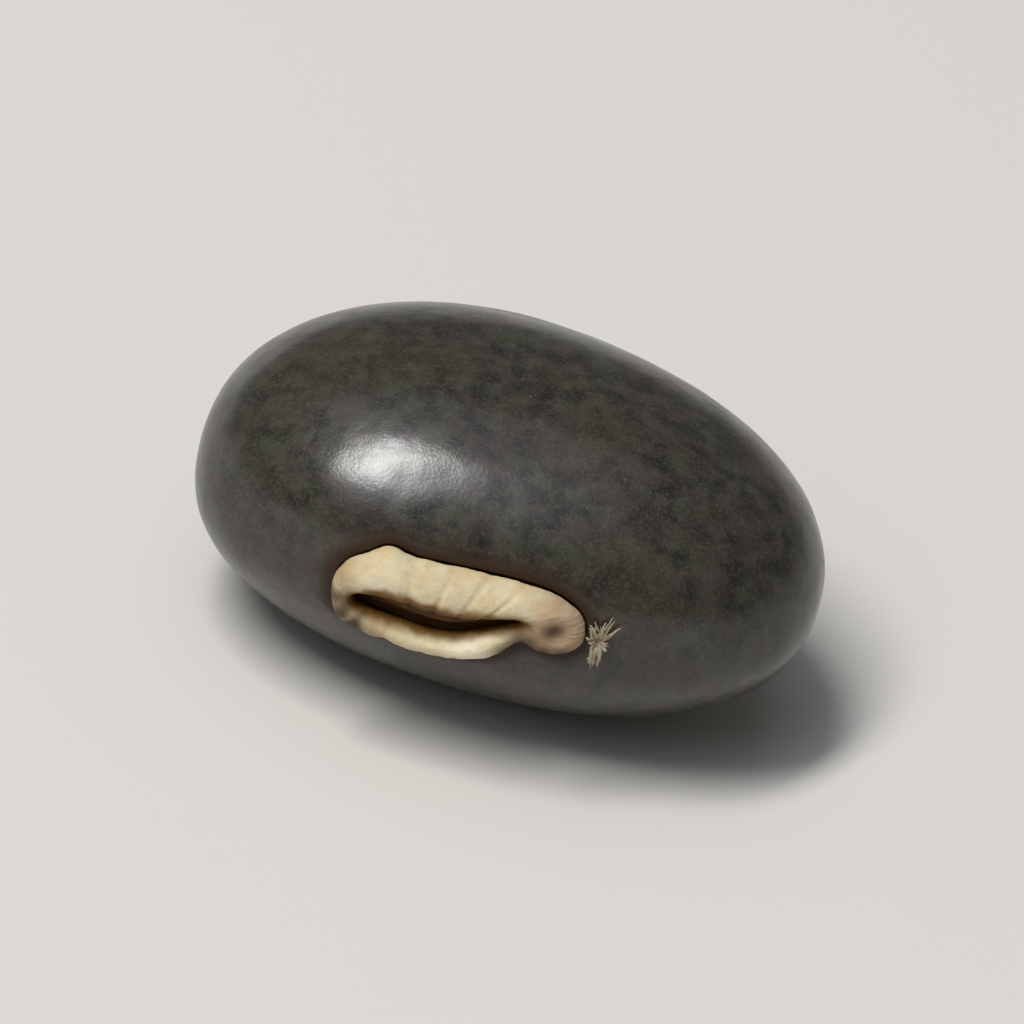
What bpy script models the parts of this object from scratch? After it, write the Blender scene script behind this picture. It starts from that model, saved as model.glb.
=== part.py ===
"""Velvet bean: one dry seed that lies on a small flat spot of its own coat.

The dark coat is one closed body, a plump oblong with a bulged back and a straighter
front edge. That edge carries the scar where the seed hung in its pod: a shallow oval
bed with a low tongue along its floor. A cream collar, the rim aril, stands round the
scar as a second body.

Metres, +Z up. +X runs along the seed, -Y is the scar's side. The origin is the middle
of the flat spot, which lies in the plane z = 0.
"""

import math

import bmesh
import bpy
from mathutils import Euler, Matrix, Vector

MM = 0.001

# The coat: outer sizes of the whole seed, and how its form leaves a plain ellipsoid
LENGTH = 15.5 * MM
WIDTH = 10.9 * MM
THICKNESS = 8.2 * MM
FULLNESS = 2.2  # 2 is an ellipsoid, more is closer to a rounded block
BACK_BULGE = 0.13  # how far the ends bend towards the scar's side
END_TAPER = -0.04  # the end at +X is this much slimmer than the middle
COAT_DETAIL = 5  # subdivisions of the ball that the coat starts from

# How the seed lies: turned about X so that the scar looks slightly upward
LIE_ANGLE = math.radians(8.0)
SPOT_DEPTH = 0.14 * MM
SPOT_SNAP = 0.02 * MM  # points this close to the flat spot's plane are moved into it

# Shallow dents of the dried coat: heading and height of each as seen from the middle
# of the seed in degrees, its depth, and how wide it spreads in degrees
DENTS = (
    (-24.0, 14.0, 0.16 * MM, 13.0),
    (62.0, 38.0, 0.14 * MM, 17.0),
    (168.0, -6.0, 0.13 * MM, 15.0),
    (-128.0, -30.0, 0.15 * MM, 14.0),
)

# The scar and its collar, in the seed's own skin: along is +X, across is +Z
SCAR_ALONG = -0.55 * MM  # the scar's middle, off the seed's middle
SCAR_ACROSS = -0.2 * MM
SCAR_TURN = math.radians(6.5)  # how far the scar is turned, its +X end up
COLLAR_LENGTH = 6.3 * MM
COLLAR_WIDTH = 2.36 * MM
COLLAR_TAPER = 0.2  # how much slimmer it is at its +X end than in the middle
COLLAR_HEIGHT = 0.55 * MM  # how far the collar stands out of the coat
COLLAR_FOOT = 0.25 * MM  # how far its foot sits below the coat's surface
FOOT_TUCK = 0.8  # how much the lip draws in towards its foot, as a share of its width
OBLONGNESS = 2.5  # outline of the collar, 2 is an ellipse
FLOOR_GAP = 0.15 * MM  # clear between the collar's foot and the floor of its bed
BED_OUTSET = 0.04 * MM  # how far the bed's rim lies outside the collar's lip
LOWER_DROP = 0.2  # how much lower the collar stands below the slot than above it

# How the collar's outer edge leaves its oblong: the angle round the scar in degrees, 0
# being its +X end, how far out, and how wide that spreads in degrees. The deepest is the
# nick between the lower lip and the knob, the highest is the crest of the upper lip.
EDGE_SWELLS = (
    (180.0, -0.20 * MM, 22.0),
    (150.0, -0.06 * MM, 10.0),
    (121.0, 0.18 * MM, 5.5),
    (103.0, -0.03 * MM, 9.0),
    (50.0, 0.08 * MM, 14.0),
    (-56.0, -0.46 * MM, 9.0),
    (-125.0, -0.17 * MM, 16.0),
)

# The slot that the collar leaves open, off its middle towards its -X end, so that the
# collar is widest as a knob at its +X end. The slot narrows and climbs towards the knob,
# and sags between.
SLOT_LENGTH = 4.06 * MM
SLOT_WIDTH = 0.56 * MM
SLOT_TAPER = 0.35
SLOT_ALONG = -0.42 * MM
SLOT_ACROSS = 0.0
SLOT_CLIMB = 0.074  # how far it climbs for its length
SLOT_SAG = 0.39 * MM
SAG_ALONG = -0.15 * MM
SAG_SPREAD = 0.90 * MM

# Dips in the collar's top: place along and across the scar, depth and spread. They are
# the knob's pit and the sunken place at the nick.
TOP_DIPS = (
    (2.43 * MM, 0.03 * MM, 0.28 * MM, 0.19 * MM),
    (1.68 * MM, -0.48 * MM, 0.22 * MM, 0.26 * MM),
)

# The tongue along the scar's floor, and the share of its breadth that its top takes
TONGUE_LENGTH = 3.2 * MM
TONGUE_WIDTH = 0.36 * MM
TONGUE_RISE = 0.26 * MM
TONGUE_TOP = 0.45

COLLAR_STEPS = 120  # sections round the collar
LIP_STEPS = 20  # points round one section
FLOOR_STEPS = 4  # rings of the bed's floor between the tongue and the wall

HALF_LENGTH = LENGTH / 2
HALF_WIDTH = WIDTH / 2
HALF_THICKNESS = THICKNESS / 2
BED_DEPTH = COLLAR_FOOT + FLOOR_GAP
CUT_REACH = 0.9 * MM  # how far the bed's cutter stands out of the coat


def bell(distance, spread):
    """A smooth hump: 1 at no distance, fading over the spread."""
    return math.exp(-0.5 * (distance / spread) ** 2)


def bent(qx, qy, qz):
    """The seed's form for a point of the rounded unit block, in the seed's own frame."""
    slimmer = 1 + END_TAPER * qx
    x = HALF_LENGTH * qx
    y = HALF_WIDTH * (qy * slimmer - BACK_BULGE * (qx * qx - 1 / 3))
    z = HALF_THICKNESS * qz * (1 + END_TAPER * qx / 2)
    return Vector((x, y, z))


def dent_depth(heading):
    """How deep the dents are in one direction from the seed's middle."""
    depth = 0.0
    for azimuth, height, deep, spread in DENTS:
        turn = Euler((0, -math.radians(height), math.radians(azimuth))).to_matrix()
        apart = math.degrees(heading.angle(turn @ Vector((1, 0, 0))))
        depth += deep * bell(apart, spread)
    return depth


def coat_point(direction):
    """The point of the coat in a direction from the seed's middle."""
    size = sum(abs(part) ** FULLNESS for part in direction) ** (1 / FULLNESS)
    point = bent(*(direction / size))
    return point - point.normalized() * dent_depth(direction.normalized())


def scar_side(along, across):
    """The undented coat on the scar's side, at a place along X and across Z."""
    qx = along / HALF_LENGTH
    qz = across / (HALF_THICKNESS * (1 + END_TAPER * qx / 2))
    qy = -((1 - abs(qx) ** FULLNESS - abs(qz) ** FULLNESS) ** (1 / FULLNESS))
    return bent(qx, qy, qz)


def over_scar(spot, height):
    """A point over the scar's side: a spot of the scar's own plan, and out of the skin."""
    along = SCAR_ALONG + spot.x * math.cos(SCAR_TURN) - spot.y * math.sin(SCAR_TURN)
    across = SCAR_ACROSS + spot.x * math.sin(SCAR_TURN) + spot.y * math.cos(SCAR_TURN)
    step = 0.05 * MM
    forward = scar_side(along + step, across) - scar_side(along - step, across)
    upward = scar_side(along, across + step) - scar_side(along, across - step)
    outward = forward.cross(upward).normalized()
    return scar_side(along, across) + outward * height


def oblong(angle, length, width, taper):
    """A point of a rounded oblong, slimmer at its +X end by the taper."""
    way = Vector((math.cos(angle), math.sin(angle)))
    size = sum(abs(part) ** OBLONGNESS for part in way) ** (1 / OBLONGNESS)
    way /= size
    return Vector((length / 2 * way.x, width / 2 * way.y * (1 - taper * way.x)))


def outward(outline, angle):
    """The direction square out from an outline at an angle."""
    step = math.radians(0.5)
    edge = outline(angle + step) - outline(angle - step)
    return Vector((edge.y, -edge.x)).normalized()


def plain_outline(angle):
    """The oblong that the collar's outer edge follows."""
    return oblong(angle, COLLAR_LENGTH, COLLAR_WIDTH, COLLAR_TAPER)


def collar_outline(angle):
    """The collar's outer edge in the skin of the scar's side."""
    out = 0.0
    for place, swell, spread in EDGE_SWELLS:
        apart = (math.degrees(angle) - place + 180) % 360 - 180
        out += swell * bell(apart, spread)
    return plain_outline(angle) + outward(plain_outline, angle) * out


def in_slot(spot):
    """Where a spot of a level, straight slot lies once the slot climbs and sags."""
    along = SLOT_ALONG + spot.x
    across = SLOT_ACROSS + spot.y + SLOT_CLIMB * spot.x
    return Vector((along, across - SLOT_SAG * bell(along - SAG_ALONG, SAG_SPREAD)))


def slot_outline(angle):
    """The collar's inner edge, round its slot."""
    return in_slot(oblong(angle, SLOT_LENGTH, SLOT_WIDTH, SLOT_TAPER))


def collar_point(angle, turn):
    """A point of the collar: an angle round the scar, and a turn round the lip there."""
    outer = collar_outline(angle)
    inner = slot_outline(angle)
    tuck = 1 - FOOT_TUCK * min(math.sin(turn), 0.0) ** 2
    spot = (outer + inner) / 2 + (outer - inner) / 2 * tuck * math.cos(turn)
    top = COLLAR_HEIGHT * (1 - LOWER_DROP * (1 - math.sin(angle)) / 2)
    tall = (top + COLLAR_FOOT) / 2
    height = tall - COLLAR_FOOT + tall * math.sin(turn)
    for along, across, depth, spread in TOP_DIPS:
        if math.sin(turn) > 0:
            height -= depth * bell((spot - Vector((along, across))).length, spread)
    return over_scar(spot, height)


def bed_rows():
    """The bed's rings as rows of points, from the top of its tongue out to above its rim."""
    angles = [2 * math.pi * step / COLLAR_STEPS for step in range(COLLAR_STEPS)]
    side = TONGUE_WIDTH * (1 - TONGUE_TOP)
    top, foot, rim = [], [], []
    for angle in angles:
        top.append(in_slot(oblong(angle, TONGUE_LENGTH - side, TONGUE_WIDTH - side, 0)))
        foot.append(in_slot(oblong(angle, TONGUE_LENGTH, TONGUE_WIDTH, 0)))
        edge = outward(collar_outline, angle)
        rim.append(collar_outline(angle) + edge * BED_OUTSET)
    rows = [[over_scar(spot, TONGUE_RISE - BED_DEPTH) for spot in top]]
    for step in range(FLOOR_STEPS + 1):
        share = step / FLOOR_STEPS
        spots = [inner.lerp(outer, share) for inner, outer in zip(foot, rim)]
        rows.append([over_scar(spot, -BED_DEPTH) for spot in spots])
    rows.append([over_scar(spot, CUT_REACH) for spot in rim])
    return rows


def surface(name, colour, roughness):
    """A plain material of one colour."""
    material = bpy.data.materials.new(name)
    material.use_nodes = True
    shader = material.node_tree.nodes["Principled BSDF"]
    shader.inputs["Base Color"].default_value = (*colour, 1.0)
    shader.inputs["Roughness"].default_value = roughness
    shader.inputs["Metallic"].default_value = 0.0
    material.diffuse_color = (*colour, 1.0)
    return material


def stored(name, bm, material, parent):
    """Keeps a mesh as a named object, shaded smooth, under a parent."""
    bmesh.ops.recalc_face_normals(bm, faces=bm.faces)
    mesh = bpy.data.meshes.new(name)
    bm.to_mesh(mesh)
    bm.free()
    mesh.shade_smooth()
    if material:
        mesh.materials.append(material)
    piece = bpy.data.objects.new(name, mesh)
    piece.parent = parent
    bpy.context.scene.collection.objects.link(piece)
    return piece


def loop_faces(bm, lower, upper):
    """Joins two closed rows of points with a band of faces."""
    for i, corner in enumerate(lower):
        after = (i + 1) % len(lower)
        bm.faces.new((corner, lower[after], upper[after], upper[i]))


def coat_mesh():
    """The coat as a closed mesh in the seed's own frame."""
    bm = bmesh.new()
    bmesh.ops.create_icosphere(bm, subdivisions=COAT_DETAIL, radius=1.0)
    for vertex in bm.verts:
        vertex.co = coat_point(vertex.co)
    return bm


def flatten_below(bm):
    """Cuts the flat spot, and returns its middle in the seed's own frame."""
    down = Matrix.Rotation(LIE_ANGLE, 3, "X") @ Vector((0, 0, -1))
    lowest = max(vertex.co.dot(down) for vertex in bm.verts)
    everything = bm.verts[:] + bm.edges[:] + bm.faces[:]
    bmesh.ops.bisect_plane(
        bm,
        geom=everything,
        dist=SPOT_SNAP,
        plane_co=down * (lowest - SPOT_DEPTH),
        plane_no=down,
        use_snap_center=True,
        clear_outer=True,
    )
    rim = [edge for edge in bm.edges if edge.is_boundary]
    spot = bmesh.ops.edgeloop_fill(bm, edges=rim)["faces"][0]
    return spot.calc_center_median_weighted()


def capped(bm, row, middle):
    """Closes a row of points with a fan of faces about a middle point."""
    centre = bm.verts.new(middle)
    for i, corner in enumerate(row):
        bm.faces.new((centre, row[(i + 1) % len(row)], corner))


def bed_cutter(parent):
    """The solid that is cut from the coat where the collar and the scar's floor go."""
    bm = bmesh.new()
    rows = [[bm.verts.new(point) for point in row] for row in bed_rows()]
    for lower, upper in zip(rows, rows[1:]):
        loop_faces(bm, lower, upper)
    middle = Vector((0, 0))
    capped(bm, rows[0], over_scar(in_slot(middle), TONGUE_RISE - BED_DEPTH))
    capped(bm, rows[-1][::-1], over_scar(middle, CUT_REACH))
    cutter = stored("bed_cutter", bm, None, parent)
    cutter.hide_render = True
    cutter.display_type = "WIRE"
    return cutter


def make_coat(parent):
    """The seed's coat with its flat spot and the bed of its scar."""
    bm = coat_mesh()
    spot_middle = flatten_below(bm)
    black_brown = surface("seed_coat", (0.046, 0.042, 0.037), 0.34)
    coat = stored("seed", bm, black_brown, parent)
    cut = coat.modifiers.new("scar_bed", "BOOLEAN")
    cut.operation = "DIFFERENCE"
    cut.solver = "EXACT"
    cut.object = bed_cutter(parent)
    return spot_middle


def make_collar(parent):
    """The cream collar round the scar, one closed ring."""
    bm = bmesh.new()
    rows = []
    for i in range(COLLAR_STEPS):
        angle = 2 * math.pi * i / COLLAR_STEPS
        turns = [2 * math.pi * j / LIP_STEPS for j in range(LIP_STEPS)]
        rows.append([bm.verts.new(collar_point(angle, turn)) for turn in turns])
    for i, row in enumerate(rows):
        loop_faces(bm, row, rows[(i + 1) % COLLAR_STEPS])
    cream = surface("rim_aril", (0.80, 0.64, 0.36), 0.62)
    stored("rim_aril", bm, cream, parent)


def main():
    """Clears the scene and builds the seed, lying on its flat spot."""
    for old in list(bpy.data.objects):
        bpy.data.objects.remove(old, do_unlink=True)
    lie = bpy.data.objects.new("lie_of_seed", None)
    bpy.context.scene.collection.objects.link(lie)
    spot_middle = make_coat(lie)
    make_collar(lie)
    lie.rotation_euler = (-LIE_ANGLE, 0, 0)
    lie.location = -(Matrix.Rotation(-LIE_ANGLE, 3, "X") @ spot_middle)


main()
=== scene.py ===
"""Velvet bean: one dry seed on a pale floor, under soft studio light.

The seed's coat, its cream collar round the scar, the scar's floor and the dried crumb of
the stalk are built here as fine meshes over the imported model, in its frame: metres, +X
along the seed, -Y the scar's side, +Z up, origin in the middle of the flat spot. The
classes work in millimetres in the seed's own frame and place each mesh at the end.
"""

import logging
import math
from dataclasses import dataclass
from enum import Enum

import bmesh
import bpy
import numpy as np
from mathutils import Matrix, Vector, noise


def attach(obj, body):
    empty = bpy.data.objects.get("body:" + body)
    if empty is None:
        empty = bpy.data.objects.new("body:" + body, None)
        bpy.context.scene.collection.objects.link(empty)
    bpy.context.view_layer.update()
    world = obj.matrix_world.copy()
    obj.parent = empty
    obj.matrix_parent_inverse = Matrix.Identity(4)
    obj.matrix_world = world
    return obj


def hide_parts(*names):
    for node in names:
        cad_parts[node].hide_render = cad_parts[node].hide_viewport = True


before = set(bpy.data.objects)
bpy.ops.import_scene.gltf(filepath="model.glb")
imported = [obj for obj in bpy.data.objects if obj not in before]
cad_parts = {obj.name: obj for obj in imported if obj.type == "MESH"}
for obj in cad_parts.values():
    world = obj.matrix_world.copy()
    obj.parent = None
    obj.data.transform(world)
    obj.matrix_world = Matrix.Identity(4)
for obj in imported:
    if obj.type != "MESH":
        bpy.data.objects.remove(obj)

logging.basicConfig(level=logging.INFO, format="%(message)s")
log = logging.getLogger("velvet_bean")

Array = np.ndarray
Object = bpy.types.Object
Material = bpy.types.Material
Tree = bpy.types.NodeTree
Socket = bpy.types.NodeSocket
Faces = list[tuple[int, ...]]
Pair = tuple[float, float]
Triple = tuple[float, float, float]
Swells = tuple[Triple, ...]
Spots = tuple[tuple[float, float, float, float], ...]

MM = 0.001
FULL_TURN = 2 * math.pi

# The mix node's colour sockets share their names with others, so they go by number
MIX_UNDER, MIX_OVER, MIX_RESULT = 6, 7, 2


class Slot(Enum):
    """The pieces' material slots."""

    COAT = "seed_coat"
    ARIL = "aril"


def linear(code: str) -> tuple[float, float, float, float]:
    """Turns a colour from sRGB hex to linear, with the numbers of the sRGB standard.

    Args:
        code: The colour as "#RRGGBB".

    Returns:
        Linear red, green, blue and a full alpha.
    """
    parts = [int(code[i : i + 2], 16) / 255 for i in (1, 3, 5)]
    flat = [p / 12.92 if p <= 0.04045 else ((p + 0.055) / 1.055) ** 2.4 for p in parts]
    return (*flat, 1.0)


def add_node(tree: Tree, kind: str, inputs: dict | None = None, **settings: str) -> bpy.types.Node:
    """Adds a shader node with its settings and links.

    Args:
        tree: The node tree of a material.
        kind: Blender's name of the node's type.
        inputs: For each socket, by name or number, its value or the output it is fed by.
        **settings: The node's own properties.

    Returns:
        The new node.
    """
    node = tree.nodes.new(kind)
    for name, value in settings.items():
        setattr(node, name, value)
    for socket, value in (inputs or {}).items():
        if isinstance(value, Socket):
            tree.links.new(value, node.inputs[socket])
        else:
            node.inputs[socket].default_value = value
    return node


def bell(distance: Array, spread: float) -> Array:
    """A smooth hump: 1 at no distance, fading over the spread."""
    return np.exp(-0.5 * (distance / spread) ** 2)


def eased(value: Array, low: float, high: float) -> Array:
    """Goes smoothly from 0 at low to 1 at high."""
    share = np.clip((value - low) / (high - low), 0.0, 1.0)
    return share * share * (3 - 2 * share)


def unit(rows: Array) -> Array:
    """Brings each row to a length of 1."""
    return rows / np.linalg.norm(rows, axis=1)[:, None]


def swells_at(angle: Array, swells: Swells) -> Array:
    """Adds up the swells round the scar.

    Args:
        angle: Angles round the scar in radians, 0 being its +X end.
        swells: For each swell its place in degrees, its size and its spread in degrees.

    Returns:
        The sum at each angle.
    """
    total = np.zeros_like(angle)
    for place, size, spread in swells:
        total += size * bell((np.degrees(angle) - place + 180) % 360 - 180, spread)
    return total


@dataclass(frozen=True)
class Lumps:
    """Even, unrepeated noise in space, for unevenness and for stains.

    Its strength is about how far it goes each way, and its size is the breadth of one
    lump in millimetres. The seed moves the pattern, so that no two are alike. Each octave
    is about twice as fine as the last, and weaker.
    """

    strength: float
    size: float
    seed: float
    octaves: int = 1
    seed_steps: Triple = (13.7, 7.3, 3.1)
    weakening: float = 1.0
    fineness: float = 2.1

    def at(self, points: Array) -> Array:
        """Reads the noise.

        Args:
            points: Points in millimetres, one row each.

        Returns:
            One value for each point.
        """
        shift = Vector([self.seed * step for step in self.seed_steps])
        spots = [Vector(point) / self.size + shift for point in points]
        settings = (self.weakening, self.fineness, self.octaves)
        return self.strength * np.array([noise.fractal(spot, *settings) for spot in spots])


@dataclass
class SeedForm:
    """The seed's plain form and how it lies, in millimetres.

    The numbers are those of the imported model, so that every piece lies on its solids.
    Each dent has the azimuth and the height that it is seen at from the seed's middle, in
    degrees, its depth, and its spread in degrees.
    """

    length: float = 15.5
    width: float = 10.9
    thickness: float = 8.2
    fullness: float = 2.2
    back_bulge: float = 0.13
    end_taper: float = -0.04
    dents: Spots = (
        (-24.0, 14.0, 0.16, 13.0),
        (62.0, 38.0, 0.14, 17.0),
        (168.0, -6.0, 0.13, 15.0),
        (-128.0, -30.0, 0.15, 14.0),
    )
    lie_angle: float = math.radians(8.0)
    middle: Triple = (0.2075, -0.8812, 4.0538)
    scar_along: float = -0.55
    scar_across: float = -0.2
    scar_turn: float = math.radians(6.5)
    slope_step: float = 0.05

    def bent(self, q: Array) -> Array:
        """Bends the rounded unit block into the seed's form.

        Args:
            q: Points of the block, one row each.

        Returns:
            The same points in the seed's frame.
        """
        qx, qy, qz = q.T
        slimmer = 1 + self.end_taper * qx
        x = self.length / 2 * qx
        # Less a third, the bulge leaves the seed as a whole where it is
        y = self.width / 2 * (qy * slimmer - self.back_bulge * (qx * qx - 1 / 3))
        z = self.thickness / 2 * qz * (1 + self.end_taper * qx / 2)
        return np.stack((x, y, z), axis=1)

    def coat(self, directions: Array) -> Array:
        """Points of the dented coat in directions from the seed's middle.

        Args:
            directions: Unit vectors, one row each.

        Returns:
            One point for each direction.
        """
        size = (np.abs(directions) ** self.fullness).sum(axis=1) ** (1 / self.fullness)
        points = self.bent(directions / size[:, None])
        deep = np.zeros(len(points))
        for azimuth, height, depth, spread in self.dents:
            a, h = math.radians(azimuth), math.radians(height)
            way = (math.cos(a) * math.cos(h), math.sin(a) * math.cos(h), math.sin(h))
            apart = np.degrees(np.arccos(np.clip(directions @ np.array(way), -1, 1)))
            deep += depth * bell(apart, spread)
        return points - unit(points) * deep[:, None]

    def side(self, along: Array, across: Array) -> Array:
        """The undented coat on the scar's side.

        Args:
            along: Places along X.
            across: Places across, along Z.

        Returns:
            One point for each place.
        """
        qx = along / (self.length / 2)
        qz = across / (self.thickness / 2 * (1 + self.end_taper * qx / 2))
        rest = 1 - np.abs(qx) ** self.fullness - np.abs(qz) ** self.fullness
        qy = -(np.clip(rest, 0, None) ** (1 / self.fullness))
        return self.bent(np.stack((qx, qy, qz), axis=1))

    def over_scar(self, spots: Array, height: Array) -> Array:
        """Points over the scar's side.

        Args:
            spots: Places along and across the scar, from its middle.
            height: Heights out of the coat.

        Returns:
            One point in the seed's frame for each place.
        """
        u, v = spots.T
        cos, sin = math.cos(self.scar_turn), math.sin(self.scar_turn)
        along = self.scar_along + u * cos - v * sin
        across = self.scar_across + u * sin + v * cos
        step = self.slope_step
        forward = self.side(along + step, across) - self.side(along - step, across)
        upward = self.side(along, across + step) - self.side(along, across - step)
        outward = unit(np.cross(forward, upward))
        return self.side(along, across) + outward * np.asarray(height)[:, None]

    def scar_spots(self, points: Array) -> Array:
        """Finds points of the coat in the scar's plan.

        Args:
            points: Points in the seed's frame, one row each.

        Returns:
            Their places along and across the scar, from its middle.
        """
        cos, sin = math.cos(self.scar_turn), math.sin(self.scar_turn)
        x = points[:, 0] - self.scar_along
        z = points[:, 2] - self.scar_across
        return np.stack((x * cos + z * sin, z * cos - x * sin), axis=1)

    def placed(self, name: str, points: Array, faces: Faces) -> Object:
        """Makes an object of points in the seed's frame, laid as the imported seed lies.

        Args:
            name: The piece's name.
            points: Points in millimetres, in the seed's frame.
            faces: The faces, as tuples of point numbers.

        Returns:
            The new object, shaded smooth, with its place in its mesh.
        """
        mesh = bpy.data.meshes.new(name)
        mesh.from_pydata(points.tolist(), [], faces)
        lie = Matrix.Translation(self.middle) @ Matrix.Rotation(-self.lie_angle, 4, "X")
        mesh.transform(Matrix.Scale(MM, 4) @ lie)
        mesh.shade_smooth()
        piece = bpy.data.objects.new(name, mesh)
        bpy.context.scene.collection.objects.link(piece)
        return piece


@dataclass
class ScarPlan:
    """The scar's outlines, flat, in millimetres along and across it.

    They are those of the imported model: the collar's outer edge with its crest and its
    nick, and the slot, which climbs towards the knob and sags between.
    """

    length: float = 6.3
    width: float = 2.36
    taper: float = 0.2
    oblongness: float = 2.5
    edge_swells: Swells = (
        (180.0, -0.20, 22.0),
        (150.0, -0.06, 10.0),
        (121.0, 0.18, 5.5),
        (103.0, -0.03, 9.0),
        (50.0, 0.08, 14.0),
        (-56.0, -0.46, 9.0),
        (-125.0, -0.17, 16.0),
    )
    slot_length: float = 4.06
    slot_width: float = 0.56
    slot_taper: float = 0.35
    slot_along: float = -0.42
    slot_across: float = 0.0
    slot_climb: float = 0.074
    slot_sag: float = 0.39
    sag_along: float = -0.15
    sag_spread: float = 0.90
    slope_step: float = math.radians(0.5)
    edge_samples: int = 720
    batch: int = 4000
    far: float = 9.0

    def oblong(self, angle: Array, length: float, width: float, taper: float = 0.0) -> Array:
        """Spots of a rounded oblong.

        Args:
            angle: Angles round it, 0 being its +X end.
            length: Its length.
            width: Its width.
            taper: How much slimmer it gets towards its +X end.

        Returns:
            One spot for each angle.
        """
        x, y = np.cos(angle), np.sin(angle)
        power = self.oblongness
        size = (np.abs(x) ** power + np.abs(y) ** power) ** (1 / power)
        x, y = x / size, y / size
        return np.stack((length / 2 * x, width / 2 * y * (1 - taper * x)), axis=1)

    def edge(self, angle: Array) -> Array:
        """Spots of the collar's outer edge.

        Args:
            angle: Angles round the scar, 0 being its +X end.

        Returns:
            One spot for each angle.
        """
        step = self.slope_step
        sizes = (self.length, self.width, self.taper)
        run = self.oblong(angle + step, *sizes) - self.oblong(angle - step, *sizes)
        outward = unit(np.stack((run[:, 1], -run[:, 0]), axis=1))
        swell = swells_at(angle, self.edge_swells)
        return self.oblong(angle, *sizes) + outward * swell[:, None]

    def in_slot(self, spots: Array) -> Array:
        """Moves spots as the slot does when it climbs and sags.

        Args:
            spots: Spots of a level, straight slot, from its middle.

        Returns:
            The same spots in the scar's plan.
        """
        along = self.slot_along + spots[:, 0]
        across = self.slot_across + spots[:, 1] + self.slot_climb * spots[:, 0]
        sag = self.slot_sag * bell(along - self.sag_along, self.sag_spread)
        return np.stack((along, across - sag), axis=1)

    def slot(self, angle: Array) -> Array:
        """Spots of the collar's inner edge, round its slot."""
        sizes = (self.slot_length, self.slot_width, self.slot_taper)
        return self.in_slot(self.oblong(angle, *sizes))

    def gap(self, spots: Array) -> Array:
        """How far spots lie outside the collar's outer edge.

        Args:
            spots: Places along and across the scar.

        Returns:
            Distances in millimetres, below 0 under the collar. A spot that is further
            off than the scar's own size gets one large distance.
        """
        ring = self.edge(np.linspace(0, FULL_TURN, self.edge_samples, endpoint=False))
        x1, y1 = ring.T
        x2, y2 = np.roll(ring, -1, axis=0).T
        result = np.full(len(spots), self.far)
        close = (np.abs(spots[:, 0]) < self.length) & (np.abs(spots[:, 1]) < self.width)
        near = np.flatnonzero(close)
        for part in np.array_split(near, len(near) // self.batch + 1):
            x, y = spots[part, :1], spots[part, 1:]
            apart = np.hypot(x - x1, y - y1).min(axis=1)
            crossed = ((y1 > y) != (y2 > y)) & (x < (x2 - x1) * (y - y1) / (y2 - y1) + x1)
            inside = crossed.sum(axis=1) % 2 == 1
            result[part] = np.where(inside, -apart, apart)
        return result


def band_faces(rows: int, columns: int, first: int = 0, closed: bool = False) -> Faces:
    """Faces between rows of points, each row a ring.

    Args:
        rows: How many rows there are.
        columns: How many points each row has.
        first: The number of the first point.
        closed: Whether the last row joins the first.

    Returns:
        The faces, each from its row to the next.
    """
    faces = []
    for i in range(rows if closed else rows - 1):
        here, there = first + i * columns, first + (i + 1) % rows * columns
        for j in range(columns):
            k = (j + 1) % columns
            faces.append((here + j, there + j, there + k, here + k))
    return faces


def painted(piece: Object, name: str, values: Array) -> None:
    """Stores one number for each point of a piece, which its finish reads.

    Args:
        piece: The piece.
        name: The attribute's name.
        values: One value for each point.
    """
    layer = piece.data.attributes.new(name, "FLOAT", "POINT")
    layer.data.foreach_set("value", np.asarray(values, dtype=np.float32))


@dataclass(frozen=True)
class Ramp:
    """A value that goes from start to end while another goes from low to high."""

    low: float
    high: float
    end: float = 1.0
    start: float = 0.0
    smooth: bool = True

    def add_to(self, tree: Tree, value: Socket) -> Socket:
        """Adds the ramp to a node tree.

        Args:
            tree: The node tree.
            value: The output that it reads.

        Returns:
            The output with the ramp's own value.
        """
        inputs = {"Value": value, "From Min": self.low, "From Max": self.high}
        inputs.update({"To Min": self.start, "To Max": self.end})
        course = "SMOOTHSTEP" if self.smooth else "LINEAR"
        ramp = add_node(tree, "ShaderNodeMapRange", inputs, interpolation_type=course)
        return ramp.outputs["Result"]


@dataclass(frozen=True)
class Pattern:
    """A noise pattern of a finish, with the breadth of its lumps in millimetres."""

    size_mm: float
    detail: float
    roughness: float = 0.5

    def add_to(self, tree: Tree, place: Socket) -> Socket:
        """Adds the pattern to a node tree.

        Args:
            tree: The node tree.
            place: The place on the piece in millimetres.

        Returns:
            The output with the pattern, about 0 to 1.
        """
        inputs = {"Scale": 1 / self.size_mm, "Detail": self.detail, "Roughness": self.roughness}
        return add_node(tree, "ShaderNodeTexNoise", {"Vector": place, **inputs}).outputs["Fac"]


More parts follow.
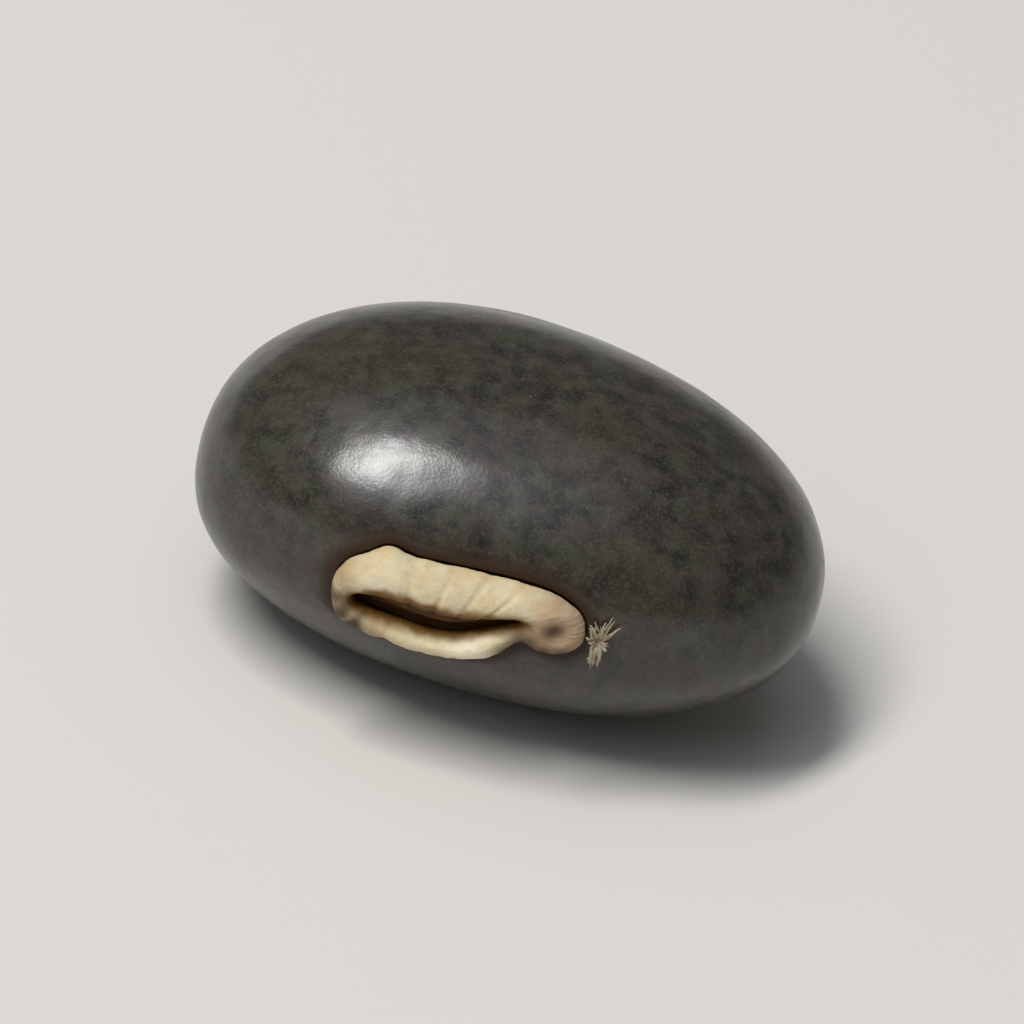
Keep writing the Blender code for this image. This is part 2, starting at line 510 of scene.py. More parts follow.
@dataclass(frozen=True)
class Specks:
    """Round specks, one in some cells of a scattered net.

    A share of the cells stays empty, and a speck has its full colour up to the core, a
    share of its radius.
    """

    cell_mm: float
    radius_mm: float
    empty: float
    core: float = 0.4

    def add_to(self, tree: Tree, place: Socket) -> Socket:
        """Adds the specks to a node tree.

        Args:
            tree: The node tree.
            place: The place on the piece in millimetres.

        Returns:
            The output with the specks' share, 0 to 1.
        """
        net = {"Vector": place, "Scale": 1 / self.cell_mm}
        cells = add_node(tree, "ShaderNodeTexVoronoi", net).outputs
        radius = self.radius_mm / self.cell_mm
        fade = Ramp(self.core * radius, radius, 0.0, 1.0, smooth=False)
        near = fade.add_to(tree, cells["Distance"])
        hue = add_node(tree, "ShaderNodeSeparateColor", {0: cells["Color"]}).outputs[0]
        drawn = {0: hue, 1: self.empty}
        chosen = add_node(tree, "ShaderNodeMath", drawn, operation="GREATER_THAN").outputs[0]
        both = {0: near, 1: chosen}
        return add_node(tree, "ShaderNodeMath", both, operation="MULTIPLY").outputs[0]


@dataclass(frozen=True)
class Bump:
    """How a pattern stands out of a surface, with its depth in millimetres."""

    strength: float
    depth_mm: float

    def add_to(self, tree: Tree, height: Socket, normal: Socket | None = None) -> Socket:
        """Adds the bump to a node tree.

        Args:
            tree: The node tree.
            height: The output with the pattern.
            normal: The output of a bump below this one.

        Returns:
            The output with the bumped normal.
        """
        inputs = {"Height": height, "Strength": self.strength, "Distance": self.depth_mm * MM}
        if normal:
            inputs["Normal"] = normal
        return add_node(tree, "ShaderNodeBump", inputs).outputs["Normal"]


@dataclass(frozen=True)
class Finish:
    """What all finishes share: how a material begins, is layered and ends."""

    def begin(self, name: str) -> tuple[Material, Tree, Socket]:
        """Starts a material.

        Args:
            name: The material's name.

        Returns:
            The material, its node tree, and the place on the piece in millimetres.
        """
        made = bpy.data.materials.new(name)
        made.use_nodes = True
        tree = made.node_tree
        tree.nodes.clear()
        place = {0: add_node(tree, "ShaderNodeTexCoord").outputs["Object"], "Scale": 1 / MM}
        in_mm = add_node(tree, "ShaderNodeVectorMath", place, operation="SCALE")
        return made, tree, in_mm.outputs["Vector"]

    def read(self, tree: Tree, name: str) -> Socket:
        """Reads one of the piece's painted attributes."""
        return add_node(tree, "ShaderNodeAttribute", attribute_name=name).outputs["Fac"]

    def layered(self, tree: Tree, base: str, layers: list[tuple[Socket, Socket | str]]) -> Socket:
        """Lays colours over a base, each by its own share.

        Args:
            tree: The node tree.
            base: The lowest colour, as sRGB hex.
            layers: For each layer the output with its share, and its colour, as sRGB hex
                or as an output.

        Returns:
            The output with the colour of all layers.
        """
        colour: Socket | tuple = linear(base)
        for share, over in layers:
            above = linear(over) if isinstance(over, str) else over
            inputs = {"Factor": share, MIX_UNDER: colour, MIX_OVER: above}
            colour = add_node(tree, "ShaderNodeMix", inputs, data_type="RGBA").outputs[MIX_RESULT]
        return colour

    def end(self, tree: Tree, inputs: dict) -> None:
        """Ends a material with its surface.

        Args:
            tree: The node tree.
            inputs: The surface's values and outputs, by the names of its sockets.
        """
        shader = add_node(tree, "ShaderNodeBsdfPrincipled", inputs)
        add_node(tree, "ShaderNodeOutputMaterial", {"Surface": shader.outputs["BSDF"]})


@dataclass(frozen=True)
class SeedCoatFinish(Finish):
    """Dry seed coat: a hard, waxy skin that shrank smooth as the seed ripened.

    Its wax gives a soft, compact shine with a faint grain. The colour lies in the skin
    in soft greenish and mauve mottles over a near-black ground, with a fine grey bloom,
    a few specks of dust and a few pores. Scuffed places are duller, and the skin has
    little wax round the scar.
    """

    ground: str = "#201E19"
    grey_green: str = "#3C3D32"
    mauve: str = "#3B332F"
    umber: str = "#3E3328"
    bloom: str = "#565347"
    dust: str = "#6E6757"
    pore: str = "#0D0C0A"
    border: str = "#352516"
    mottle: Pattern = Pattern(0.50, 3.0, 0.55)
    tint: Pattern = Pattern(0.9, 4.0, 0.6)
    cloud: Pattern = Pattern(2.6, 2.0)
    grain: Pattern = Pattern(0.075, 3.0, 0.65)
    scuff: Pattern = Pattern(1.3, 4.0, 0.65)
    mottle_share: Ramp = Ramp(0.28, 0.70)
    tint_share: Ramp = Ramp(0.36, 0.66)
    cloud_share: Ramp = Ramp(0.45, 0.65, 0.3)
    grain_share: Ramp = Ramp(0.46, 0.74, 0.5)
    dust_specks: Specks = Specks(0.9, 0.045, 0.93)
    pore_specks: Specks = Specks(0.55, 0.06, 0.82)
    mottle_bump: Bump = Bump(0.35, 0.020)
    grain_bump: Bump = Bump(0.45, 0.008)
    roughness: Ramp = Ramp(0.35, 0.7, 0.31, 0.20, smooth=False)
    wax: Ramp = Ramp(0.0, 1.0, 0.2, 0.5, smooth=False)
    ior: float = 1.55

    def material(self) -> Material:
        """Builds the coat's material.

        Returns:
            The material.
        """
        made, tree, in_mm = self.begin("seed_coat_waxy_skin")
        mottle = self.mottle.add_to(tree, in_mm)
        grain = self.grain.add_to(tree, in_mm)
        tint = self.tint_share.add_to(tree, self.tint.add_to(tree, in_mm))
        speck = self.layered(tree, self.grey_green, [(tint, self.mauve)])
        dip = self.read(tree, "dip")
        layers = [
            (self.mottle_share.add_to(tree, mottle), speck),
            (self.cloud_share.add_to(tree, self.cloud.add_to(tree, in_mm)), self.umber),
            (self.grain_share.add_to(tree, grain), self.bloom),
            (self.dust_specks.add_to(tree, in_mm), self.dust),
            (self.pore_specks.add_to(tree, in_mm), self.pore),
            (dip, self.border),
        ]
        normal = self.mottle_bump.add_to(tree, mottle)
        surface = {
            "Base Color": self.layered(tree, self.ground, layers),
            "Roughness": self.roughness.add_to(tree, self.scuff.add_to(tree, in_mm)),
            "Normal": self.grain_bump.add_to(tree, grain, normal),
            "IOR": self.ior,
            "Specular IOR Level": self.wax.add_to(tree, dip),
            "Metallic": 0.0,
        }
        self.end(tree, surface)
        return made


@dataclass(frozen=True)
class ArilFinish(Finish):
    """Dry aril: corky, papery tissue that swelled round the seed's stalk and dried.

    It is matt and lets a little light through. It is cream on top and peach towards its
    ends. Its brown patches are partly its own stains and partly painted shade, and painted
    shade darkens it, first to a yellow-brown and then to a deep brown, where it turns down
    into the slot.
    """

    cream: str = "#D2C6A1"
    straw: str = "#CBAF7D"
    pale: str = "#EFE5C9"
    peach: str = "#AE917A"
    # Brown of the patches, partly the tissue's own stains and partly painted shade
    stain_and_shade_brown: str = "#432D18"
    # Painted shade where the lip turns down into the slot, half way and at its darkest
    slot_shade_ochre: str = "#805C29"
    slot_shade_brown: str = "#3A230D"
    lump: Pattern = Pattern(0.5, 4.0, 0.6)
    vein: Pattern = Pattern(0.16, 4.0, 0.6)
    fibre: Pattern = Pattern(0.07, 4.0, 0.6)
    lump_share: Ramp = Ramp(0.35, 0.72)
    vein_share: Ramp = Ramp(0.52, 0.78, 0.3)
    # How far the painted shade towards the slot has come, half way and in full
    half_shaded: Ramp = Ramp(0.0, 0.5)
    fully_shaded: Ramp = Ramp(0.4, 1.0)
    lump_bump: Bump = Bump(0.4, 0.04)
    fibre_bump: Bump = Bump(0.7, 0.016)
    roughness: float = 0.62
    shine: float = 0.3
    ior: float = 1.45
    glow: float = 0.15
    glow_depth_mm: float = 0.2
    glow_reach: Triple = (1.0, 0.6, 0.3)

    def material(self) -> Material:
        """Builds the collar's material.

        Returns:
            The material.
        """
        made, tree, in_mm = self.begin("aril_corky_tissue")
        lump = self.lump.add_to(tree, in_mm)
        inner = self.read(tree, "inner")
        layers = [
            (self.lump_share.add_to(tree, lump), self.straw),
            # Paler patches on the lips
            (self.read(tree, "paler"), self.pale),
            (self.vein_share.add_to(tree, self.vein.add_to(tree, in_mm)), self.peach),
            (self.read(tree, "ends"), self.peach),
            # Brown patches, partly stains and partly painted shade, then painted shade where the
            # lip turns down into the slot
            (self.read(tree, "brown"), self.stain_and_shade_brown),
            (self.half_shaded.add_to(tree, inner), self.slot_shade_ochre),
            (self.fully_shaded.add_to(tree, inner), self.slot_shade_brown),
        ]
        fibre = self.fibre.add_to(tree, in_mm)
        normal = self.lump_bump.add_to(tree, lump)
        surface = {
            "Base Color": self.layered(tree, self.cream, layers),
            "Roughness": self.roughness,
            "Normal": self.fibre_bump.add_to(tree, fibre, normal),
            "IOR": self.ior,
            "Specular IOR Level": self.shine,
            "Subsurface Weight": self.glow,
            "Subsurface Radius": self.glow_reach,
            "Subsurface Scale": self.glow_depth_mm * MM,
        }
        self.end(tree, surface)
        return made


@dataclass(frozen=True)
class ScarFloorFinish(Finish):
    """Scar tissue: the torn ends of the stalk's vessels, dried dark and fibrous.

    The broken fibres scatter light in short streaks along the slot.
    """

    umber: str = "#4A2C12"
    rust: str = "#8A6030"
    fibre: Pattern = Pattern(0.1, 3.0)
    fibre_bump: Bump = Bump(0.8, 0.03)
    streaks: Triple = (0.25, 1.0, 1.0)
    roughness: float = 0.75

    def material(self) -> Material:
        """Builds the scar floor's material.

        Returns:
            The material.
        """
        made, tree, in_mm = self.begin("scar_dried_fibre")
        along = add_node(tree, "ShaderNodeMapping", {"Vector": in_mm, "Scale": self.streaks})
        fibre = self.fibre.add_to(tree, along.outputs["Vector"])
        surface = {
            "Base Color": self.layered(tree, self.umber, [(fibre, self.rust)]),
            "Roughness": self.roughness,
            "Normal": self.fibre_bump.add_to(tree, fibre),
        }
        self.end(tree, surface)
        return made


@dataclass(frozen=True)
class FloorFinish(Finish):
    """Matt card: pale and smooth, pressed, with a tooth too fine to see as grain."""

    colour: str = "#D1CEC8"
    tooth: Pattern = Pattern(0.6, 2.0)
    tooth_bump: Bump = Bump(0.08, 0.02)
    roughness: float = 0.85

    def material(self) -> Material:
        """Builds the floor's material.

        Returns:
            The material.
        """
        made, tree, in_mm = self.begin("floor_matt_card")
        surface = {
            "Base Color": linear(self.colour),
            "Roughness": self.roughness,
            "Normal": self.tooth_bump.add_to(tree, self.tooth.add_to(tree, in_mm)),
        }
        self.end(tree, surface)
        return made


@dataclass
class Coat:
    """The seed's dark coat, one closed skin with its flat spot and the scar's bed.

    Reaches are distances from the collar's outer edge, in millimetres.
    """

    form: SeedForm
    scar: ScarPlan
    stands_for: str | None = "seed"
    slot: Slot = Slot.COAT
    detail: int = 7
    finer_reaches: tuple[float, ...] = (0.9, 0.3)
    bed_depth: float = 0.40
    bed_reach: float = 0.04
    bed_wall: float = 0.14
    moat_depth: float = 0.06
    moat_reach: float = 0.40
    border_reach: float = 0.55
    border_full: float = 0.1
    swells: Lumps = Lumps(0.035, 3.4, 1.0)
    dimples: Lumps = Lumps(0.010, 1.1, 2.0, 3)
    shrinkage: float = 0.02
    uneven_from: float = -0.1
    uneven_reach: float = 0.6
    finish: SeedCoatFinish = SeedCoatFinish()

    def edge_gap(self, points: Array) -> Array:
        """How far points of the coat lie outside the collar's outer edge."""
        gap = self.scar.gap(self.form.scar_spots(points))
        return np.where(points[:, 1] < 0, gap, self.scar.far)

    def ball(self) -> tuple[Array, Faces]:
        """A fine ball of unit directions, finer still round the scar.

        Returns:
            The directions and the faces.
        """
        bm = bmesh.new()
        bmesh.ops.create_icosphere(bm, subdivisions=self.detail, radius=1.0)
        for reach in self.finer_reaches:
            ways = unit(np.array([v.co[:] for v in bm.verts]))
            gap = np.abs(self.edge_gap(self.form.coat(ways)))
            near = {v for v, g in zip(bm.verts, gap) if g < reach}
            edges = [e for e in bm.edges if e.verts[0] in near and e.verts[1] in near]
            bmesh.ops.subdivide_edges(bm, edges=edges, cuts=1, use_grid_fill=True)
        bmesh.ops.triangulate(bm, faces=[f for f in bm.faces if len(f.verts) > 3])
        bm.verts.index_update()
        ways = unit(np.array([v.co[:] for v in bm.verts]))
        faces = [tuple(v.index for v in f.verts) for f in bm.faces]
        bm.free()
        return ways, faces

    def relief(self, points: Array) -> Array:
        """The dried skin's own unevenness, as heights out of the plain form."""
        return self.swells.at(points) + self.dimples.at(points) - self.shrinkage

    def build(self) -> Object:
        """Builds and dresses the coat.

        Returns:
            The new piece.
        """
        ways, faces = self.ball()
        plain = self.form.coat(ways)
        scratch = bpy.data.meshes.new("coat_normals")
        scratch.from_pydata(plain.tolist(), [], faces)
        normals = np.empty(len(plain) * 3, np.float32)
        scratch.vertex_normals.foreach_get("vector", normals)
        normals = normals.reshape(-1, 3)
        bpy.data.meshes.remove(scratch)

        # The bed lies under the collar, with a shallow moat round it on smoother skin
        gap = self.edge_gap(plain)
        bed = eased(-gap, -self.bed_reach, self.bed_wall)
        moat = self.moat_depth * eased(-gap, -self.moat_reach, 0.0)
        uneven = self.relief(plain) * eased(gap, self.uneven_from, self.uneven_reach)
        height = uneven - moat - self.bed_depth * bed
        points = plain + normals * height[:, None]
        piece = self.form.placed("coat_skin", points, faces)
        for vertex in piece.data.vertices:
            vertex.co.z = max(vertex.co.z, 0.0)
        painted(piece, "dip", eased(-gap, -self.border_reach, -self.border_full))
        piece.data.materials.append(self.finish.material())
        return piece


@dataclass
class Collar:
    """The cream collar round the scar: two lips, a crest, a nick and a pitted knob.

    Spots have their place along and across the scar first. A dip then has its depth and
    its spread, and a patch its spread and its strength. Shades are the turns round the
    lip's section at which painted shade starts to darken it towards the slot, and darks
    those at which it is darkest, in degrees: 90 is the top, 180 the slot's side.
    """

    form: SeedForm
    scar: ScarPlan
    stands_for: str | None = "rim_aril"
    slot: Slot = Slot.ARIL
    height: float = 0.55
    lower_drop: float = 0.2
    foot: float = 0.40
    tuck: float = 0.8
    top_dips: Spots = ((2.43, 0.03, 0.30, 0.18), (1.68, -0.48, 0.24, 0.26))
    height_swells: Swells = ((-165.0, -0.10, 20.0), (119.0, 0.05, 8.0))
    creases: Swells = (
        (108.0, -0.05, 1.8),
        (92.0, -0.03, 1.3),
        (77.0, -0.035, 1.5),
        (61.0, -0.02, 1.2),
        (-100.0, -0.02, 1.6),
        (-119.0, -0.025, 1.6),
        (-138.0, -0.06, 2.6),
    )
    crease_fade: float = 0.3
    lumps: Lumps = Lumps(0.028, 0.55, 3.0)
    wrinkles: Lumps = Lumps(0.012, 0.18, 4.0, 2)
    cross_folds: Lumps = Lumps(0.010, 1.0, 9.0, 2)
    long_folds: Lumps = Lumps(0.007, 1.0, 10.0, 2)
    mean_radius: float = 2.7
    cross_crowding: float = 5.0
    long_stretch: float = 0.6
    long_crowding: float = 4.0
    # Brown patches: the tissue's own brown at the pit and between the slot and the knob, and
    # painted shade in the nick, under the knob and round the collar's left end
    brown_and_shade_spots: Spots = (
        (2.43, 0.0, 0.24, 0.7),
        (2.50, -0.42, 0.22, 0.5),
        (2.20, -0.12, 0.22, 0.5),
        (1.90, -0.10, 0.22, 0.4),
        (1.80, -0.45, 0.36, 1.0),
        (2.20, -0.60, 0.30, 1.0),
        (2.62, -0.66, 0.26, 1.0),
        (1.32, -0.70, 0.18, 0.8),
        (-2.78, -0.10, 0.24, 0.8),
        (-2.60, -0.45, 0.24, 0.95),
        (-2.28, -0.70, 0.27, 1.0),
        (-1.90, -0.85, 0.28, 0.5),
        (-2.60, 0.35, 0.25, 0.25),
    )
    # Paler patches on the lips
    paler_spots: Spots = (
        (0.55, -0.85, 0.50, 1.0),
        (-0.50, -0.90, 0.45, 0.3),
        (0.40, 0.45, 0.50, 0.2),
        (1.55, 0.45, 0.55, 0.25),
        (-1.70, 0.45, 0.40, 0.7),
        (-0.60, 0.50, 0.50, 0.25),
    )
    patch_edges: Lumps = Lumps(0.1, 0.25, 6.0)
    # Painted shade where the lip turns down into the slot: it starts and deepens sooner on the
    # upper lip
    upper_shade: float = 100.0
    lower_shade: float = 118.0
    upper_dark: float = 150.0
    lower_dark: float = 235.0
    underside_from: float = 300.0
    ragged_shade: Lumps = Lumps(9.0, 0.3, 7.0, 2)
    knob_peach: float = 0.65
    knob_span: Pair = (1.3, 2.5)
    far_peach: float = 0.35
    far_span: Pair = (2.0, 2.9)
    peach_blotches: Lumps = Lumps(0.12, 0.7, 5.0)
    # Painted shade along the upper lip's outer edge, which faces the key light
    outer_edge_shade: float = 0.16
    outer_shade_full: float = 0.9
    sections: int = 460
    points: int = 64
    finish: ArilFinish = ArilFinish()

    def plain(self, angle: Array, turn: Array) -> tuple[Array, Array]:
        """The lip's plain form.

        Args:
            angle: Angles round the scar, 0 being its +X end.
            turn: Turns round the lip's section, 0 being its outer edge.

        Returns:
            The spots in the scar's plan, and the heights out of the coat.
        """
        outer, inner = self.scar.edge(angle), self.scar.slot(angle)
        reach = (1 - self.tuck * np.minimum(np.sin(turn), 0) ** 2) * np.cos(turn)
        spots = (outer + inner) / 2 + (outer - inner) / 2 * reach[:, None]
        top = self.height * (1 - self.lower_drop * (1 - np.sin(angle)) / 2)
        top += swells_at(angle, self.height_swells)
        tall = (top + self.foot) / 2
        height = tall - self.foot + tall * np.sin(turn)
        for along, across, depth, spread in self.top_dips:
            off = np.hypot(spots[:, 0] - along, spots[:, 1] - across)
            height -= np.where(np.sin(turn) > 0, depth * bell(off, spread), 0)
        return spots, height

    def relief(self, flat: Array, angle: Array, turn: Array) -> Array:
        """The dried tissue's unevenness, as heights out of the plain lip.

        Args:
            flat: The lip's plain points.
            angle: Angles round the scar.
            turn: Turns round the lip's section.

        Returns:
            Lumps, wrinkles, folds across and along the lip, and creases across its top.
        """
        round_scar = self.mean_radius * angle
        sin, cos, crowding = np.sin(turn), np.cos(turn), self.long_crowding
        across = np.stack((round_scar * self.cross_crowding, sin, cos), axis=1)
        stretched = round_scar * self.long_stretch
        along = np.stack((stretched, sin * crowding, cos * crowding), axis=1)
        on_top = eased(sin, -self.crease_fade, self.crease_fade)
        return (
            self.lumps.at(flat)
            + self.wrinkles.at(flat)
            + self.cross_folds.at(across)
            + self.long_folds.at(along)
            + on_top * swells_at(angle, self.creases)
        )

    def build(self) -> Object:
        """Builds and dresses the collar.

        Returns:
            The new piece.
        """
        angles = np.linspace(0, FULL_TURN, self.sections, endpoint=False)
        turns = np.linspace(0, FULL_TURN, self.points, endpoint=False)
        angle, turn = (g.ravel() for g in np.meshgrid(angles, turns, indexing="ij"))
        spots, height = self.plain(angle, turn)
        flat = self.form.over_scar(spots, height)
        grid = flat.reshape(self.sections, self.points, 3)
        round_ring = np.roll(grid, -1, axis=0) - np.roll(grid, 1, axis=0)
        round_lip = np.roll(grid, -1, axis=1) - np.roll(grid, 1, axis=1)
        normal = unit(np.cross(round_ring, round_lip).reshape(-1, 3))
        points = flat + normal * self.relief(flat, angle, turn)[:, None]
        faces = band_faces(self.sections, self.points, closed=True)
        piece = self.form.placed("aril_collar", points, faces)

        # Painted shade: the lip darkens as it turns down into the slot, sooner on the upper lip,
        # with a ragged start
        upper = (1 + np.sin(angle)) / 2
        start = self.lower_shade + (self.upper_shade - self.lower_shade) * upper
        end = self.lower_dark + (self.upper_dark - self.lower_dark) * upper
        degrees = np.degrees(turn)
        inner = (degrees + self.ragged_shade.at(flat) - start) / (end - start)
        painted(piece, "inner", np.clip(inner, 0, 1) * (degrees < self.underside_from))
        knob = self.knob_peach * eased(spots[:, 0], *self.knob_span)
        far_end = self.far_peach * eased(-spots[:, 0], *self.far_span)
        ends = knob + far_end + self.peach_blotches.at(flat)
        painted(piece, "ends", np.clip(ends, 0, 1))
        # Painted shade on the upper lip's outer edge, added to the brown patches, which are partly
        # stains and partly painted shade
        outer_shade = self.outer_edge_shade * upper * eased(np.cos(turn), 0.0, self.outer_shade_full)
        painted(piece, "brown", self.patches(self.brown_and_shade_spots, spots, flat) + outer_shade)
        # Paler patches on the lips
        painted(piece, "paler", self.patches(self.paler_spots, spots, flat))
        piece.data.materials.append(self.finish.material())
        return piece

    def patches(self, places: Spots, spots: Array, flat: Array) -> Array:
        """Soft, ragged patches on the collar: brown ones, partly painted shade, and paler ones.

        Args:
            places: For each patch its place along and across the scar, its spread and
                its strength.
            spots: The collar's points in the scar's plan.
            flat: The same points in the seed's frame.

        Returns:
            The patches' share at each point, 0 to 1.
        """
        share = np.zeros(len(flat))
        for along, across, spread, most in places:
            off = np.hypot(spots[:, 0] - along, spots[:, 1] - across)
            share = np.maximum(share, most * bell(off, spread))
        return np.clip(share + self.patch_edges.at(flat), 0, 1)


@dataclass
class ScarFloor:
    """The fibrous floor of the slot, with the low tongue along it."""

    form: SeedForm
    scar: ScarPlan
    stands_for: str | None = None
    slot: Slot = Slot.COAT
    length: float = 4.7
    width: float = 1.15
    depth: float = 0.37
    underside: float = 0.6
    tongue_length: float = 3.2
    tongue_width: float = 0.36
    tongue_rise: float = 0.2
    fibres: Lumps = Lumps(0.015, 0.09, 6.0)
    fibre_stretch: float = 0.3
    rings: int = 26
    steps: int = 220
    finish: ScarFloorFinish = ScarFloorFinish()

    def build(self) -> Object:
        """Builds and dresses the scar's floor.

        Returns:
            The new piece.
        """
        angles = np.linspace(0, FULL_TURN, self.steps, endpoint=False)
        shares = [ring / self.rings for ring in range(1, self.rings + 1)]
        rows = [self.scar.oblong(angles, self.length * s, self.width * s) for s in shares]
        level = np.concatenate((*rows, [[0.0, 0.0]], [[0.0, 0.0]]))
        along = np.abs(level[:, 0] / (self.tongue_length / 2)) ** self.scar.oblongness
        across = np.abs(level[:, 1] / (self.tongue_width / 2)) ** self.scar.oblongness
        tongue = self.tongue_rise * np.exp(-(along + across))
        stretched = level[:, 0] * self.fibre_stretch
        fibres = self.fibres.at(np.column_stack((stretched, level[:, 1], level[:, 0] * 0)))
        height = tongue + fibres - self.depth
        height[-1] = -self.underside
        points = self.form.over_scar(self.scar.in_slot(level), height)

        faces = band_faces(self.rings, self.steps)
        last = (self.rings - 1) * self.steps
        centre, bottom = len(points) - 2, len(points) - 1
        for j in range(self.steps):
            k = (j + 1) % self.steps
            faces.append((centre, j, k))
            faces.append((bottom, last + k, last + j))
        piece = self.form.placed("scar_floor", points, faces)
        piece.data.materials.append(self.finish.material())
        return piece


@dataclass
class StalkCrumb:
    """The torn, dried end of the stalk: a frayed bundle of fibres beside the knob.

    Its tissue is like the collar's, but greyer. Each fan of fibres has its heading in the
    scar's plan and its spread in degrees, its fibres' length in millimetres and their
    number. Apart from the root's place, a pair holds the least and the most that a chance
    value can be.
    """

    form: SeedForm
    scar: ScarPlan
    stands_for: str | None = None
    slot: Slot = Slot.ARIL
    fans: tuple[tuple[float, float, float, int], ...] = (
        (112.0, 6.0, 0.46, 11),
        (64.0, 6.0, 0.56, 10),
        (-101.0, 13.0, 0.60, 24),
        (178.0, 20.0, 0.20, 5),
        (-20.0, 30.0, 0.22, 6),
    )
    lengths: Pair = (0.6, 1.1)
    root: Pair = (3.49, -0.22)
    root_spread: float = 0.06
    root_height: float = 0.02
    root_rise: Pair = (0.0, 0.06)
    lift: Pair = (0.06, 0.26)
    droop: float = 1.5
    curl: float = 0.22
    sway: float = 0.15
    sway_pace: float = 7.0
    sway_start: float = 20.0
    thickness: Pair = (0.016, 0.040)
    thinning: float = 0.7
    breadth: float = 1.3
    flatness: float = 0.7
    roughening: Lumps = Lumps(0.008, 0.08, 11.0, 2)
    peach: float = 0.3
    peach_blotches: Lumps = Lumps(0.3, 0.3, 8.0)
    brown: float = 0.1
    brown_blotches: Lumps = Lumps(0.3, 0.2, 12.0)
    seed: int = 11
    segments: int = 14
    sides: int = 8
    finish: ArilFinish = ArilFinish(cream="#B4AD97", straw="#A29575", peach="#957C62")

    def fibre(self, heading: float, length: float, draw: np.random.Generator) -> Array:
        """One fibre's points, as places in the scar's plan and heights.

        Args:
            heading: The way it leaves the root, in degrees.
            length: Its length in millimetres.
            draw: Where its chance bends come from.

        Returns:
            Rows of along, across and height, ring by ring from the root.
        """
        share = np.linspace(0, 1, self.segments)
        curl, lift = draw.normal(0, self.curl), draw.uniform(*self.lift)
        sway = self.sway * np.sin(share * self.sway_pace + self.sway_start * curl)
        way = math.radians(heading) + curl * share + sway
        step = length / (self.segments - 1)
        u = self.root[0] + draw.normal(0, self.root_spread) + np.cumsum(np.cos(way)) * step
        v = self.root[1] + draw.normal(0, self.root_spread) + np.cumsum(np.sin(way)) * step
        rise = lift * share * (self.droop - share)
        high = self.root_height + rise + draw.uniform(*self.root_rise)
        girth = draw.uniform(*self.thickness) * (1 - self.thinning * share**3)

        # One row for each ring, one column for each point round it
        u, v, high, girth, way = (values[:, None] for values in (u, v, high, girth, way))
        around = np.linspace(0, FULL_TURN, self.sides, endpoint=False)
        out = girth * np.cos(around) * self.breadth
        up = girth * self.flatness * np.sin(around)
        points = (u - out * np.sin(way), v + out * np.cos(way), high + up)
        return np.stack(points, axis=2).reshape(-1, 3)

    def build(self) -> Object:
        """Builds and dresses the crumb of stalk.

        Returns:
            The new piece.
        """
        draw = np.random.default_rng(self.seed)
        fibres = [
            self.fibre(draw.normal(heading, spread), length * draw.uniform(*self.lengths), draw)
            for heading, spread, length, count in self.fans
            for _ in range(count)
        ]
        faces: Faces = []
        each = self.segments * self.sides
        for number in range(len(fibres)):
            first = number * each
            band = band_faces(self.segments, self.sides, first)
            faces.extend((a, d, c, b) for a, b, c, d in band)
            faces.append(tuple(range(first + self.sides - 1, first - 1, -1)))
            faces.append(tuple(range(first + each - self.sides, first + each)))
        plan = np.concatenate(fibres)
        solid = self.form.over_scar(plan[:, :2], plan[:, 2] + self.roughening.at(plan))
        piece = self.form.placed("stalk_crumb", solid, faces)
        painted(piece, "inner", np.zeros(len(solid)))
        painted(piece, "paler", np.zeros(len(solid)))
        painted(piece, "ends", np.clip(self.peach + self.peach_blotches.at(solid), 0, 1))
        painted(piece, "brown", np.clip(self.brown + self.brown_blotches.at(solid), 0, 1))
        piece.data.materials.append(self.finish.material())
        return piece


@dataclass(frozen=True)
class Panel:
    """One soft panel of light.

    Its place, and its size with the width along the seed first, are in millimetres. Its
    power is in watts, and its top leans to the right by its turn, in degrees.
    """

    name: str
    place: Triple
    size: Pair
    power: float
    colour: str
    turn: float = 0.0


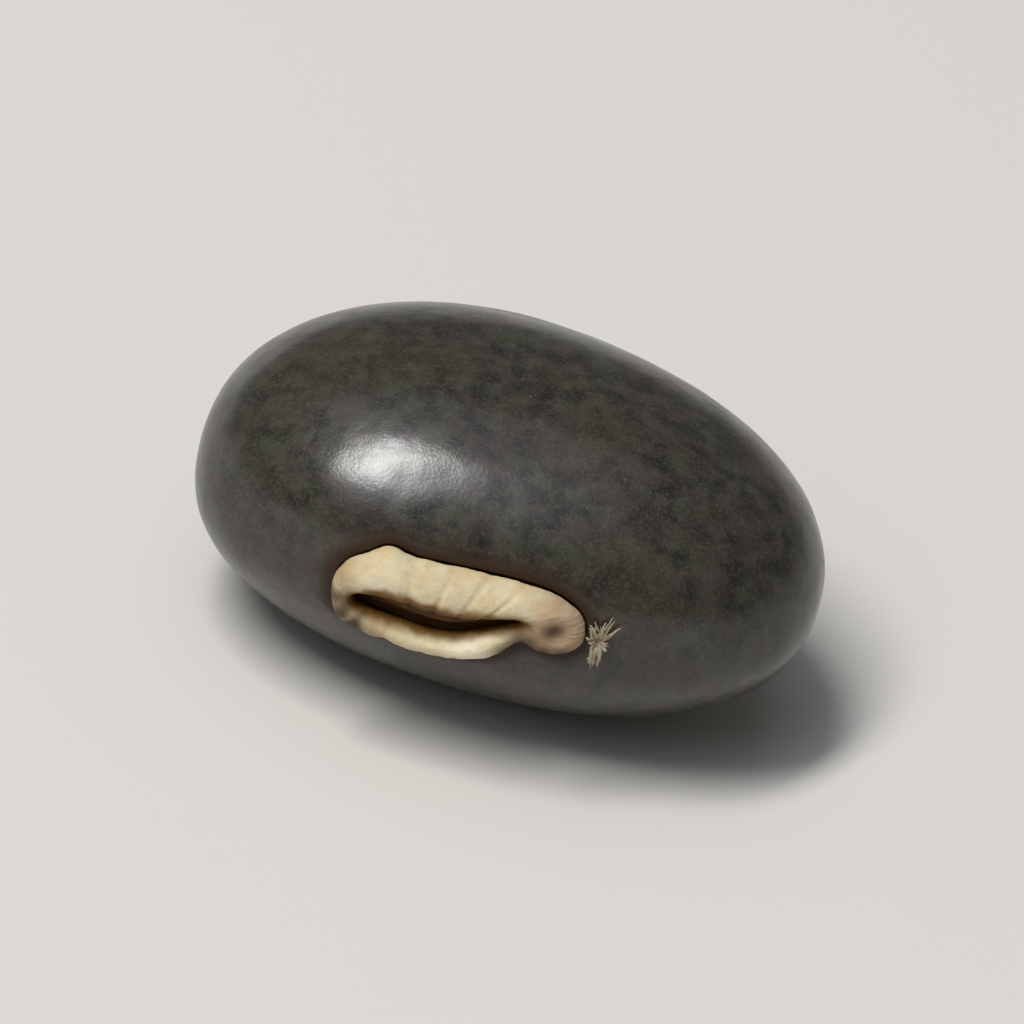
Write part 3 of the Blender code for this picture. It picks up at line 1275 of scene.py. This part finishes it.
@dataclass
class Studio:
    """A pale floor, a camera at the photograph's angle, and soft light.

    The light is a soft key from the left, two dim cool panels and a dusky room.
    """

    azimuth: float = math.radians(2.0)
    elevation: float = math.radians(36.5)
    roll: float = math.radians(15.0)
    lens: float = 600.0
    sensor_width: float = 36.0
    frame_width: float = 24.6 * MM
    clip_start: float = 0.001
    clip_end: float = 5.0
    aim: Triple = (0.2 * MM, -0.9 * MM, 4.05 * MM)
    floor_drop: float = 0.01 * MM
    floor_size: float = 3.0
    floor_cells: int = 8
    floor: FloorFinish = FloorFinish()
    panels: tuple[Panel, ...] = (
        Panel("key", (-259.0, -210.0, 646.0), (118.0, 410.0), 4.6, "#FFFEFA", 20.0),
        Panel("sheen", (-250.0, -330.0, 612.0), (250.0, 720.0), 1.1, "#EAEEFF", 16.0),
        Panel("haze", (-150.0, -60.0, 702.0), (620.0, 1000.0), 1.15, "#EAEEFF"),
    )
    room: str = "#ECECEA"
    room_strength: float = 0.14

    def make_camera(self) -> None:
        """Places the camera."""
        data = bpy.data.cameras.new("camera")
        data.lens = self.lens
        data.sensor_width = self.sensor_width
        data.clip_start = self.clip_start
        data.clip_end = self.clip_end
        camera = bpy.data.objects.new("camera", data)
        a, e = self.azimuth, self.elevation
        back = Vector((math.sin(a) * math.cos(e), -math.cos(a) * math.cos(e), math.sin(e)))
        turn = Matrix.Rotation(self.roll, 3, back)
        right = turn @ Vector((math.cos(a), math.sin(a), 0))
        up = back.cross(right)
        distance = self.lens / self.sensor_width * self.frame_width
        place = Matrix.Translation(Vector(self.aim) + back * distance)
        camera.matrix_world = place @ Matrix((right, up, back)).transposed().to_4x4()
        bpy.context.scene.collection.objects.link(camera)
        bpy.context.scene.camera = camera

    def make_floor(self) -> None:
        """Lays the floor just under the seed."""
        bm = bmesh.new()
        cells = self.floor_cells
        bmesh.ops.create_grid(bm, x_segments=cells, y_segments=cells, size=self.floor_size / 2)
        mesh = bpy.data.meshes.new("floor")
        bm.to_mesh(mesh)
        bm.free()
        mesh.materials.append(self.floor.material())
        plane = bpy.data.objects.new("floor", mesh)
        plane.location.z = -self.floor_drop
        bpy.context.scene.collection.objects.link(plane)

    def hang(self, panel: Panel) -> None:
        """Adds one panel of light, which faces the seed.

        Args:
            panel: The panel.
        """
        data = bpy.data.lights.new(panel.name, "AREA")
        data.shape = "RECTANGLE"
        data.size, data.size_y = panel.size[0] * MM, panel.size[1] * MM
        data.energy = panel.power
        data.color = linear(panel.colour)[:3]
        lamp = bpy.data.objects.new(panel.name, data)
        lamp.location = Vector(panel.place) * MM
        back = (lamp.location - Vector(self.aim)).normalized()
        width = Vector((1, 0, 0)) - back * back.x
        width = Matrix.Rotation(math.radians(-panel.turn), 3, back) @ width.normalized()
        lamp.rotation_euler = Matrix((width, back.cross(width), back)).transposed().to_euler()
        lamp.visible_camera = False
        bpy.context.scene.collection.objects.link(lamp)

    def make_light(self) -> None:
        """Hangs the panels and lights the room."""
        for panel in self.panels:
            self.hang(panel)
        world = bpy.data.worlds.new("room")
        world.use_nodes = True
        sky = world.node_tree.nodes["Background"]
        sky.inputs["Color"].default_value = linear(self.room)
        sky.inputs["Strength"].default_value = self.room_strength
        bpy.context.scene.world = world
        bpy.context.scene.view_settings.view_transform = "Standard"


def main() -> None:
    """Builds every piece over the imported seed."""
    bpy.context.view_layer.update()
    form, scar = SeedForm(), ScarPlan()

    for part in (
        Coat(form, scar),
        Collar(form, scar),
        ScarFloor(form, scar),
        StalkCrumb(form, scar),
    ):
        piece = part.build()
        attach(piece, "root")
        if part.stands_for:
            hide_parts(part.stands_for)
        log.info("%s: %d points", piece.name, len(piece.data.vertices))

    studio = Studio()
    studio.make_camera()
    studio.make_floor()
    studio.make_light()


if __name__ == "__main__":
    main()
